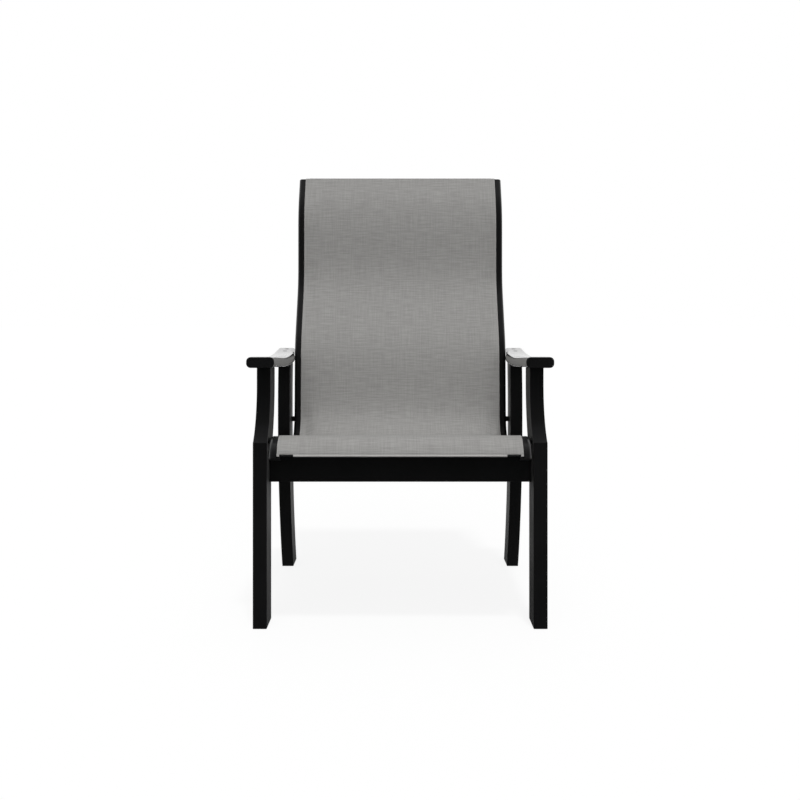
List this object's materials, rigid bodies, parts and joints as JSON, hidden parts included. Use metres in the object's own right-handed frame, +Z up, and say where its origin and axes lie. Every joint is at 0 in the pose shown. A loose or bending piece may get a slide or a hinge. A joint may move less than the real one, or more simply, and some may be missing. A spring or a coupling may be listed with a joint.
{
  "type": "sling patio chair",
  "caption": "High-backed outdoor armchair: a mesh fabric sling stretched between bent rails, hung on stand-offs between two board side frames with flat arms.",
  "frame": {"origin": "on the floor, under the middle of the whole chair's length and width", "axes": "+X towards the sitter's left, +Y towards the back of the chair, +Z up"},
  "size_m": [0.6904, 0.789, 1.1031],
  "materials": {
    "frame_board": "satin black polymer board, solid colour, with eased edges",
    "sling_rail": "extruded, bent and powder coated satin black",
    "sling": "warm grey woven mesh of vinyl-coated polyester yarn",
    "fittings": "black moulded plastic",
    "spline": "extruded dark grey plastic rod",
    "fasteners": "plain stainless steel"
  },
  "bodies": {
    "root": {"front_leg_left": "frame_board", "front_leg_right": "frame_board", "rear_leg_left": "frame_board", "rear_leg_right": "frame_board", "arm_left": "frame_board", "arm_right": "frame_board", "side_rail_left": "frame_board", "side_rail_right": "frame_board", "front_apron": "frame_board", "rear_stretcher": "frame_board", "sling_rail_left": "sling_rail", "sling_rail_right": "sling_rail", "sling_fabric": "sling", "sling_spline_left": "spline", "sling_spline_right": "spline", "front_hem_rod": "sling_rail", "front_cap_left": "fittings", "front_cap_right": "fittings", "top_cap_left": "fittings", "top_cap_right": "fittings", "seat_front_spreader": "sling_rail", "seat_rear_spreader": "sling_rail", "back_top_spreader": "sling_rail", "seat_front_spreader_bolt_left": "fasteners", "seat_front_spreader_bolt_right": "fasteners", "seat_rear_spreader_bolt_left": "fasteners", "seat_rear_spreader_bolt_right": "fasteners", "back_top_spreader_bolt_left": "fasteners", "back_top_spreader_bolt_right": "fasteners", "front_spacer_left": "fittings", "front_spacer_right": "fittings", "rear_spacer_left": "fittings", "rear_spacer_right": "fittings", "front_sling_bolt_left": "fasteners", "front_sling_bolt_right": "fasteners", "rear_sling_bolt_left": "fasteners", "rear_sling_bolt_right": "fasteners", "apron_screw_lower_left": "fasteners", "apron_screw_lower_right": "fasteners", "apron_screw_upper_left": "fasteners", "apron_screw_upper_right": "fasteners", "stretcher_screw_lower_left": "fasteners", "stretcher_screw_lower_right": "fasteners", "stretcher_screw_upper_left": "fasteners", "stretcher_screw_upper_right": "fasteners", "arm_screw_front_first_left": "fasteners", "arm_screw_front_first_right": "fasteners", "arm_screw_front_second_left": "fasteners", "arm_screw_front_second_right": "fasteners", "arm_screw_rear_first_left": "fasteners", "arm_screw_rear_first_right": "fasteners", "arm_screw_rear_second_left": "fasteners", "arm_screw_rear_second_right": "fasteners", "tenon_screw_left": "fasteners", "tenon_screw_right": "fasteners"}
  },
  "joints": []
}
